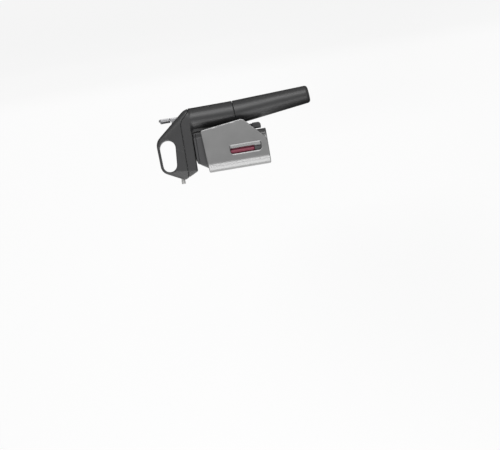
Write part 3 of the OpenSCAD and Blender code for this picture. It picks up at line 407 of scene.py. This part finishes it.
def to_array(field, low, size, level=0.0):
    """The field's distances on a block of voxels, measured from the surface at a level."""
    block = np.empty(size, dtype=np.float32)
    field.copyToArray(block, ijk=tuple(int(v) for v in low))
    return block - level


def from_array(block, low, voxel, band=BAND):
    """A field from the distances on a block of voxels."""
    field = vdb.FloatGrid()
    field.background = float(band * voxel)
    field.transform = vdb.createLinearTransform(voxel)
    field.copyFromArray(block, ijk=tuple(int(v) for v in low))
    return field


print("voxel of the large shells:", round(SHELL_VOXEL, 2), "mm")

# %% [markdown]
# ## Blocks of voxels
# Some forms are easiest to carve as plain arrays of distances: the larger of two distances is the part
# that two solids share, and the smaller one is their union. These helpers say where an array's voxels
# lie, and carve with them.


# %% Blocks of voxels
def block_for(corners, voxel):
    """The lowest voxel and the size of a block with some room round the corners."""
    low = np.floor(corners.min(0) / voxel).astype(int) - MARGIN
    high = np.ceil(corners.max(0) / voxel).astype(int) + MARGIN
    return low, tuple(int(v) for v in high - low + 1)


def places(low, size, voxel):
    """The coordinates in mm of a block's voxels, one array for each axis."""
    spans = tuple(slice(start, start + count) for start, count in zip(low, size))
    return [voxel * axis.astype(np.float32) for axis in np.ogrid[spans]]


def lowest(axes, voxel):
    """The lowest voxel of a block with these coordinates."""
    return [int(round(axis.ravel()[0] / voxel)) for axis in axes]


def common(*distances):
    """The distances to the part that several solids share."""
    return functools.reduce(np.maximum, distances)


print("voxel blocks ready")

# %% [markdown]
# ## From field to piece
# The skin of a field is a mesh again. Its faces are as small as a voxel, and their own normals would show
# it. The field knows which way is straight out at every point, so the normals are taken from its slope.

# %% From field to piece
SLOPE_STEP = 0.75  # in voxels
SKIN_INSET = 0.005
SKIN_THRIFT = 0.02  # lets flat stretches have larger faces
TINY = 1e-9


def sampled(block, at):
    """The block's distances at points between its voxels, mixed from the eight voxels round each."""
    cell = np.clip(np.floor(at).astype(int), 0, np.array(block.shape) - 2)
    part = at - cell
    total = 0
    for ends in itertools.product((0, 1), repeat=3):
        i, j, k = (cell + ends).T
        total = total + np.prod(np.where(ends, part, 1 - part), axis=1) * block[i, j, k]
    return total


def surface_normals(field, corners, voxel):
    """Directions straight out of the field at points on its surface."""
    low, size = block_for(corners, voxel)
    block = to_array(field, low, size)
    at = corners / voxel - low
    steps = SLOPE_STEP * np.eye(3)
    slope = np.stack([sampled(block, at + step) - sampled(block, at - step) for step in steps], axis=1)
    return slope / np.maximum(np.linalg.norm(slope, axis=1, keepdims=True), TINY)


def is_inside_out(mesh):
    """Whether a closed mesh has its faces pointing inwards."""
    test = bmesh.new()
    test.from_mesh(mesh)
    volume = test.calc_volume(signed=True)
    test.free()
    return volume < 0


def to_piece(name, field, level, voxel, material):
    """Skins a field and turns the skin into a piece with smooth normals taken from the field."""
    corners, triangles, quads = field.convertToPolygons(isovalue=level - SKIN_INSET, adaptivity=SKIN_THRIFT)
    mesh = bpy.data.meshes.new(name)
    mesh.from_pydata((corners * MM).tolist(), [], triangles.tolist() + quads.tolist())
    if is_inside_out(mesh):
        mesh.flip_normals()
    mesh.shade_smooth()
    mesh.normals_split_custom_set_from_vertices(surface_normals(field, corners, voxel).tolist())
    mesh.materials.append(material)
    piece = bpy.data.objects.new(name, mesh)
    bpy.context.scene.collection.objects.link(piece)
    print(name, len(triangles) + 2 * len(quads), "triangles")
    return piece


# %% [markdown]
# ## Moulding one part
# Every moulding takes the same four steps: the CAD solid becomes a field, its edges are rounded, it is
# carved where its form needs that, and the skin takes the CAD node's place on the same moving body. One
# function does them all, so that every shell is made alike.


# %% Moulding one part
def dress(name, node, body, slot, radius, voxel=SHELL_VOXEL, carve=None):
    """Moulds one CAD node again with rounded edges, and puts it in the node's place."""
    corners, triangles = cad_triangles(node)
    field, level = moved(to_field((corners, triangles), voxel), -radius, voxel), radius
    if carve:
        low, size = block_for(corners, voxel)
        block = carve(to_array(field, low, size, level), *places(low, size, voxel))
        field, level = from_array(block, low, voxel), 0.0
    piece = to_piece(name, field, level, voxel, FINISH_OF_SLOT[slot])
    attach(piece, body)
    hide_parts(node)
    return piece


print("moulding tools ready")

# %% [markdown]
# ## Head
# The head's cover is one moulding with the finger loop through it. The loop's mouth has a generous radius
# so that it is kind to a finger. To round only the mouth, the filled outer form, with the loop cut
# through, is rounded on its own, and the hollow cover is then trimmed to it.

# %% Head cover
LOOP_CIRCLES = ((-2.7, 82.2, 9.8), (20.6, 81.7, 11.2))  # x, z and radius at each end of the loop
LOOP_MOUTH_RADIUS = 1.3
LOOP_CUT_HALF = 40
CIRCLE_STEPS = 96


def belt_prism(circles, half):
    """Points of a prism along y whose outline is a belt round circles of the x-z plane."""
    steps = np.linspace(0, 2 * np.pi, CIRCLE_STEPS, endpoint=False)
    return [(x + r * math.cos(a), side * half, z + r * math.sin(a))
            for x, z, r in circles for a in steps for side in (-1, 1)]


def with_soft_loop(block, x, y, z):
    """Trims the cover to its filled form, whose loop has a rounded mouth."""
    low = lowest((x, y, z), SHELL_VOXEL)
    solid, loop = (to_array(to_field(hull_triangles(points), SHELL_VOXEL), low, block.shape)
                   for points in (cad_triangles("head_cover")[0], belt_prism(LOOP_CIRCLES, LOOP_CUT_HALF)))
    pierced = from_array(common(solid, -loop), low, SHELL_VOXEL)
    soft = moved(pierced, -LOOP_MOUTH_RADIUS, SHELL_VOXEL)
    return common(block, to_array(soft, low, block.shape, LOOP_MOUTH_RADIUS))


dress("head_cover_moulding", "head_cover", "head", "black_shell", radius=0.35, carve=with_soft_loop)

# %% [markdown]
# ## Handle and cup
# The handle's round grows out of the head's flat side: in the photograph no line parts them. A Bevel
# modifier would need a clean edge where the two meet, and there is none. Here the filled outer forms of
# head and handle are joined, their inner corner is filled by a rolling ball, and the edge of the head
# beside the handle is worn back to the same flow. Only the shell's outside takes this form.

# %% The flow from head to handle
HEAD_FLOOR = 45.0
FLOOR_SLACK = 0.05
HANDLE_X = 55.4
HANDLE_RADII = ((-60.0, 17.2), (HEAD_FLOOR + 1.0, 16.2))  # height and radius at each end of the cone
CONE_STEPS = 128
BLEND_RADIUS = 4.6
EDGE_RADIUS = 2.6
FLOW_ROOM = math.ceil((BLEND_RADIUS + EDGE_RADIUS) / SHELL_VOXEL)
FLOW_BAND = FLOW_ROOM + 3


def head_and_handle(low, size):
    """The distances to the filled forms of the head and of the handle's cone."""
    shells = np.concatenate([cad_triangles(node)[0] for node in ("head_body", "head_cover")])
    head = shells[shells[:, 2] >= HEAD_FLOOR - FLOOR_SLACK]
    turn = np.linspace(0, 2 * np.pi, CONE_STEPS, endpoint=False)
    cone = [(HANDLE_X + r * math.cos(a), r * math.sin(a), z) for z, r in HANDLE_RADII for a in turn]
    return (to_array(to_field(hull_triangles(points), SHELL_VOXEL, FLOW_BAND), low, size)
            for points in (head, cone))


def flowing_form(low, size):
    """The distances to the filled head, the filled handle, and their soft union."""
    head, handle = head_and_handle(low, size)
    joined = from_array(np.minimum(head, handle), low, SHELL_VOXEL, FLOW_BAND)
    filled = moved(joined, BLEND_RADIUS, SHELL_VOXEL, FLOW_BAND)
    worn = moved(filled, -BLEND_RADIUS - EDGE_RADIUS, SHELL_VOXEL, FLOW_BAND)
    return head, handle, to_array(worn, low, size, EDGE_RADIUS)


print("the flow works in a band of", FLOW_BAND, "voxels")

# %% [markdown]
# The flow is added only in the corner below the head, clear of the rail, and it wears the shell only
# round the handle. Elsewhere the trimming form is set back, so that it touches nothing. Each pair below
# says where the wear starts to fade in or out and where it has done so.

# %% Handle and cup
RAIL_CLEAR_X = 36.7
FILLET_OVERLAP = 0.6
FILLET_Z = (38.5, HEAD_FLOOR - 0.1)
WEAR_FROM_X = (33, 41)
WEAR_TO_X = (60, 66)
WEAR_FROM_Z = (34, 38)
WEAR_FROM_SIDE = (18.5, 21)
SIDE_SLANT = 0.25
WEAR_SETBACK = 3.5


def smooth_step(value, low, high):
    """0 below low, 1 above high, and smooth between them."""
    t = np.clip((value - low) / (high - low), 0, 1)
    return t * t * (3 - 2 * t)


def flowing_handle(block, x, y, z):
    """Lets the handle's round grow out of the head's flat side instead of meeting it at a line."""
    low = np.array(lowest((x, y, z), SHELL_VOXEL)) - FLOW_ROOM
    size = tuple(count + 2 * FLOW_ROOM for count in block.shape)
    inner = (slice(FLOW_ROOM, -FLOW_ROOM),) * 3
    head, handle, soft = (distances[inner] for distances in flowing_form(low, size))
    fillet = common(soft, -FILLET_OVERLAP - head, -FILLET_OVERLAP - handle, RAIL_CLEAR_X - x,
                    FILLET_Z[0] - z, z - FILLET_Z[1])
    near = (smooth_step(x, *WEAR_FROM_X) * (1 - smooth_step(x, *WEAR_TO_X)) * smooth_step(z, *WEAR_FROM_Z)
            * smooth_step(np.abs(y) + SIDE_SLANT * x, *WEAR_FROM_SIDE))
    return common(np.minimum(block, fillet), soft - WEAR_SETBACK * (1 - near))


dress("handle_moulding", "head_body", "head", "black_shell", radius=0.35, carve=flowing_handle)
dress("cup_moulding", "cup_shell", "cup", "black_shell", radius=0.45)

# %% [markdown]
# ## Clamp, rail and trigger
# Each jaw is a shell with satin silver lacquer, and the edges of its side panel are softened by the tool
# and by the thickness of the lacquer. The base between the jaws, the rail and its stop are charcoal and
# black mouldings with small radii. All take the same moulding function, each with its own radius, and a
# finer voxel where the part is small.

# %% Clamp, rail and trigger
for side in ("left", "right"):
    dress(f"jaw_panel_{side}", f"jaw_shell_{side}", f"jaw_{side}", "silver_panels", radius=0.6)
    dress(f"carrier_moulding_{side}", f"jaw_carrier_{side}", f"jaw_{side}", "charcoal", radius=0.3)
dress("yoke_moulding", "yoke", "clamp_base", "charcoal", radius=0.45)
dress("yoke_lid_moulding", "yoke_cover", "clamp_base", "charcoal", radius=0.4, voxel=0.35 * COARSER)
dress("rail_bar", "rail", "head", "black_shell", radius=0.35, voxel=0.35 * COARSER)
dress("rail_stop_moulding", "rail_stop", "head", "charcoal", radius=0.7, voxel=0.3 * COARSER)
dress("trigger_casting", "trigger", "trigger_lever", "trigger_silver", radius=0.7, voxel=0.3 * COARSER)
dress("trigger_lining", "trigger_underlay", "trigger_lever", "charcoal", radius=0.45, voxel=0.25 * COARSER)

# %% [markdown]
# ## Rubber pad under the head
# A thin rubber pad lies on the base where the head comes down, so that the two mouldings don't knock. It
# also fills the narrow gap between them, which is dark with shade, and its black there is painted shade.
# It has no CAD solid, so its field is written as the formula of a box with round edges.

# %% Rubber pad under the head
PAD_LOW = np.array((3.3, -8.8, 43.3))
PAD_HIGH = np.array((28.3, 8.8, 44.9))
PAD_EDGE = 0.15
PAD_VOXEL = 0.2 * COARSER


def rounded_box(low, high, edge, x, y, z):
    """Distances to a box with round edges."""
    middle, half = (low + high) / 2, (high - low) / 2 - edge
    past = [np.abs(a - m) - h for a, m, h in zip((x, y, z), middle, half)]
    outside = np.sqrt(sum(np.maximum(p, 0) ** 2 for p in past))
    return outside + np.minimum(common(*past), 0) - edge


pad_at, pad_size = block_for(np.array((PAD_LOW, PAD_HIGH)), PAD_VOXEL)
pad_block = rounded_box(PAD_LOW, PAD_HIGH, PAD_EDGE, *places(pad_at, pad_size, PAD_VOXEL)).astype(np.float32)
# partly a real buffer, partly painted shade: its black fills the shaded gap under the head
pad = to_piece("head_buffer", from_array(pad_block, pad_at, PAD_VOXEL), 0.0, PAD_VOXEL, black_rubber)
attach(pad, "clamp_base")

# %% [markdown]
# ## Grips
# The grips are soft elastomer moulded onto the carriers. Shallow grooves run round the face that closes on
# what the clamp holds, so that the skin can give and doesn't slip. They could be cut by a Boolean for each
# groove, but one formula that repeats along z cuts them all. The rib shows through the window of the jaw,
# and beside it the window is left dark.

# %% Grips
GRIP_RADIUS = 14.6
GROOVE_PITCH = 3.0
GROOVE_RADIUS = 0.55
RIB_EDGE_X = 2.9
RIB_FOOT_Y = 22.2


def grooved(block, x, y, z):
    """Cuts rounded grooves round the needle's axis into the grip's face, and trims the rib."""
    out = np.sqrt(x * x + y * y) - GRIP_RADIUS
    along = (z + GROOVE_PITCH / 2) % GROOVE_PITCH - GROOVE_PITCH / 2
    beside_rib = common(RIB_EDGE_X - x, RIB_FOOT_Y - np.abs(y))
    return common(block, GROOVE_RADIUS - np.sqrt(out * out + along * along), -beside_rib)


for side in ("left", "right"):
    dress(f"grip_{side}", f"grip_pad_{side}", f"jaw_{side}", "soft_grip",
          radius=0.8, voxel=0.35 * COARSER, carve=grooved)

# %% [markdown]
# ## Grip bumps
# Between the grooves stand rows of small soft bumps, which bite on what the clamp holds. They repeat, so
# Geometry Nodes place them: points on the round of the face, one ball on each, made real and given the
# grip's elastomer. Each ball is sunk into the face, so that only its cap stands out. One group serves both
# jaws, and its Side input mirrors it.

# %% The node group of the bumps
BUMP_SINK = 0.75
BUMP_SCALES = (0.97, 1.0)
BUMP_INPUTS = {"Side": 1.0, "Rows": 15, "Bumps in a row": 9, "First angle": math.radians(63),
               "Step angle": math.radians(12.2), "Face radius": GRIP_RADIUS + BUMP_SINK,
               "First height": -1.5, "Row pitch": GROOVE_PITCH, "Bump radius": 1.0, "Seed": 7}


def bump_places(group, get):
    """Where each point of the rows stands on the round face."""
    index = make(group, "GeometryNodeInputIndex")
    row = make(group, "ShaderNodeMath", {"operation": "FLOOR"}, {0: index / get["Bumps in a row"]})
    angle = get["First angle"] + (index - row * get["Bumps in a row"]) * get["Step angle"]
    cosine, sine = (make(group, "ShaderNodeMath", {"operation": operation}, {0: angle})
                    for operation in ("COSINE", "SINE"))
    return make(group, "ShaderNodeCombineXYZ", None,
                {"X": cosine * get["Face radius"] * MM,
                 "Y": sine * get["Face radius"] * get["Side"] * MM,
                 "Z": (get["First height"] - row * get["Row pitch"]) * MM})


def bump_group():
    """The node group: rows of balls on the round face of a grip."""
    group = bpy.data.node_groups.new("rows of grip bumps", "GeometryNodeTree")
    for name, value in BUMP_INPUTS.items():
        kind = "NodeSocketInt" if isinstance(value, int) else "NodeSocketFloat"
        group.interface.new_socket(name, in_out="INPUT", socket_type=kind)
    group.interface.new_socket("Bumps", in_out="OUTPUT", socket_type="NodeSocketGeometry")
    get = {name: make(group, "NodeGroupInput", output=name) for name in BUMP_INPUTS}
    points = make(group, "GeometryNodePoints", None,
                  {"Count": get["Rows"] * get["Bumps in a row"], "Position": bump_places(group, get)})
    ball = make(group, "GeometryNodeMeshUVSphere", None,
                {"Segments": 12, "Rings": 8, "Radius": get["Bump radius"] * MM})
    size = make(group, "FunctionNodeRandomValue", {"data_type": "FLOAT"},
                {2: BUMP_SCALES[0], 3: BUMP_SCALES[1], "Seed": get["Seed"]}, output=1)
    placed = make(group, "GeometryNodeInstanceOnPoints", None,
                  {"Points": points, "Instance": ball, "Scale": size})
    real = make(group, "GeometryNodeRealizeInstances", None, {"Geometry": placed})
    smooth = make(group, "GeometryNodeSetShadeSmooth", None, {"Geometry": real})
    done = make(group, "GeometryNodeSetMaterial", None, {"Geometry": smooth, "Material": wine_grip})
    group.links.new(done.socket, group.nodes.new("NodeGroupOutput").inputs["Bumps"])
    return group


bumps = bump_group()
print(bumps.name, "has", len(bumps.nodes), "nodes")

# %% [markdown]
# The group runs once for each jaw. Its inputs are set by their sockets' identifiers before it is first
# evaluated, and the result is kept as a plain mesh, because the export drops instances.

# %% Grip bumps
for side, sign in (("left", -1.0), ("right", 1.0)):
    host = bpy.data.objects.new(f"grip_bumps_{side}", bpy.data.meshes.new("bumps"))
    bpy.context.scene.collection.objects.link(host)
    modifier = host.modifiers.new("bumps", "NODES")
    modifier.node_group = bumps
    for item in bumps.interface.items_tree:
        if item.in_out == "INPUT":
            modifier[item.identifier] = sign if item.name == "Side" else BUMP_INPUTS[item.name]
    solved = bpy.data.meshes.new_from_object(host.evaluated_get(bpy.context.evaluated_depsgraph_get()))
    host.modifiers.clear()
    host.data = solved
    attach(host, f"jaw_{side}")
    print(host.name, len(solved.polygons), "faces")

# %% [markdown]
# ## Parts that keep their CAD shape
# Screws, pins, springs, tubes and the parts inside the shells keep their exact CAD shape, because their
# edges are turned or cut and their size matters more than their gloss. Each gets the finish of its slot
# in the record, and the spout gets a polish of its own.

# %% Finishes of the other parts
FINISH_OF_NODE = {"spout_tube": spout_steel}

for part in frame["record"]["subparts"]:
    finish = FINISH_OF_NODE.get(part["node"], FINISH_OF_SLOT[part["material_slot"]])
    for slot in bpy.data.objects[part["node"]].material_slots:
        slot.material = finish

# %% [markdown]
# ## White floor
# The photograph is a cut-out on white. The floor is a white sheet behind the dispenser, as if it lay on a
# table and the camera looked straight down at it. More light would whiten it too, but would bleach the
# dispenser, so the paper is made to look white to the camera and in reflections, and keeps the shadow.

# %% White floor
FLOOR_Y = 0.45
FLOOR_SIZE = 3.0
FLOOR_SEEN = 0.9
FLOOR_MIRRORED = 0.7


def sheet(name, centre, normal, across, width, length, material):
    """A flat sheet that faces along its normal."""
    centre, normal, across = Vector(centre), Vector(normal).normalized(), Vector(across).normalized()
    along = normal.cross(across)
    corners = [centre + sx * across * width / 2 + sy * along * length / 2
               for sx, sy in ((-1, -1), (1, -1), (1, 1), (-1, 1))]
    mesh = bpy.data.meshes.new(name)
    mesh.from_pydata(corners, [], [(0, 1, 2, 3)])
    mesh.materials.append(material)
    thing = bpy.data.objects.new(name, mesh)
    bpy.context.scene.collection.objects.link(thing)
    return thing


def seen_plainly(tree):
    """1 on the rays that look straight or through glass."""
    return sum(make(tree, "ShaderNodeLightPath", output=output)
               for output in ("Is Camera Ray", "Is Transmission Ray"))


def seen_mirrored(tree):
    """1 on the rays that look by reflection."""
    return make(tree, "ShaderNodeLightPath", output="Is Glossy Ray")


def paper(name, grain_size, dark, light):
    """A matt paper material with a soft grain of grey."""
    material, tree, shader, place = surface(name, Roughness=0.9, Specular_IOR_Level=0.1)
    grain = noise(tree, place, grain_size)
    feed(shader, Base_Color=blend_colours(tree, grain, shade((dark,) * 3), shade((light,) * 3)))
    return material, tree, shader


def white_paper():
    """White paper: lit softly, seen as white, and clear from behind so that it hides nothing."""
    material, tree, shader = paper("white paper", 30.0, 0.86, 0.90)
    seen = seen_plainly(tree) * FLOOR_SEEN + seen_mirrored(tree) * FLOOR_MIRRORED
    glow = make(tree, "ShaderNodeEmission", None, {"Color": (1, 1, 1, 1), "Strength": 1.0})
    lit = make(tree, "ShaderNodeMixShader", None, {0: seen, 1: Signal(tree, shader.outputs[0]), 2: glow})
    clear = make(tree, "ShaderNodeBsdfTransparent")
    behind = make(tree, "ShaderNodeNewGeometry", output="Backfacing")
    both = make(tree, "ShaderNodeMixShader", None, {0: behind, 1: lit, 2: clear})
    tree.links.new(both.socket, tree.nodes["Material Output"].inputs["Surface"])
    return material


floor = sheet("floor", centre=(-0.1, FLOOR_Y, 0), normal=(0, -1, 0), across=(1, 0, 0),
              width=FLOOR_SIZE, length=FLOOR_SIZE, material=white_paper())
print(floor.name, "stands", FLOOR_Y, "m behind the needle")

# %% [markdown]
# ## Black cards
# A photographer stands black cards beside a dark object, so that its edges stay deep against white. One
# stands behind the handle and one below the cup. The camera doesn't see them, but the reflections do.

# %% Black cards
black_paper = paper("dark card", 20.0, 0.008, 0.012)[0]
cards = (
    sheet("upper_card", centre=(0.31, 0.29, 0), normal=(-0.64, -0.77, 0), across=(0.77, -0.64, 0),
          width=0.36, length=1.4, material=black_paper),
    sheet("lower_card", centre=(-0.03, 0.12, -0.20), normal=(1, 0, 0), across=(0, 1, 0),
          width=0.36, length=0.25, material=black_paper),
)
for card in cards:
    card.visible_camera = False
print(len(cards), "cards stand beside the handle")

# %% [markdown]
# ## Lights
# Two soft lights stand above and below the camera, as the picture sees them, and draw the two broad bands
# along the handle. A third one, low beside the jaws, draws their bright front corner. Area lights are
# chosen because their reflection on satin plastic is a band with soft ends, as a studio's soft boxes give.

# %% Lights
LIT_POINT = Vector((0.02, 0, -0.01))


def soft_light(name, place, width, height, watts):
    """A soft box that faces the dispenser."""
    data = bpy.data.lights.new(name, "AREA")
    data.shape, data.size, data.size_y, data.energy = "RECTANGLE", width, height, watts
    lamp = bpy.data.objects.new(name, data)
    lamp.location = place
    lamp.rotation_mode = "QUATERNION"
    lamp.rotation_quaternion = (LIT_POINT - Vector(place)).to_track_quat("-Z", "Y")
    bpy.context.scene.collection.objects.link(lamp)
    return lamp


lamps = (
    soft_light("upper_light", place=(0.76, -0.84, 0.05), width=0.68, height=0.9, watts=8.8),
    soft_light("lower_light", place=(-0.60, -0.92, 0.05), width=0.4, height=0.9, watts=4.3),
    soft_light("low_light", place=(-0.94, -0.17, 0.05), width=1.0, height=0.8, watts=6.5),
)
print(round(sum(lamp.data.energy for lamp in lamps), 1), "W in", len(lamps), "lights")

# %% [markdown]
# ## The room
# The room round the studio is white to the camera and gives a little light from every side. In
# reflections it is dimmer, because a real studio is dark outside its lights, and a white room would wash
# out the bands.

# %% The room
ROOM_LIGHT = 0.18
ROOM_SEEN = 1 - ROOM_LIGHT
ROOM_MIRRORED = 0.15

world = bpy.data.worlds.new("studio")
bpy.context.scene.world = world
world.use_nodes = True
room = world.node_tree
strength = seen_plainly(room) * ROOM_SEEN + seen_mirrored(room) * ROOM_MIRRORED + ROOM_LIGHT
room.nodes["Background"].inputs["Color"].default_value = (1, 1, 1, 1)
room.links.new(strength.socket, room.nodes["Background"].inputs["Strength"])
print("the room gives", ROOM_LIGHT, "of white")
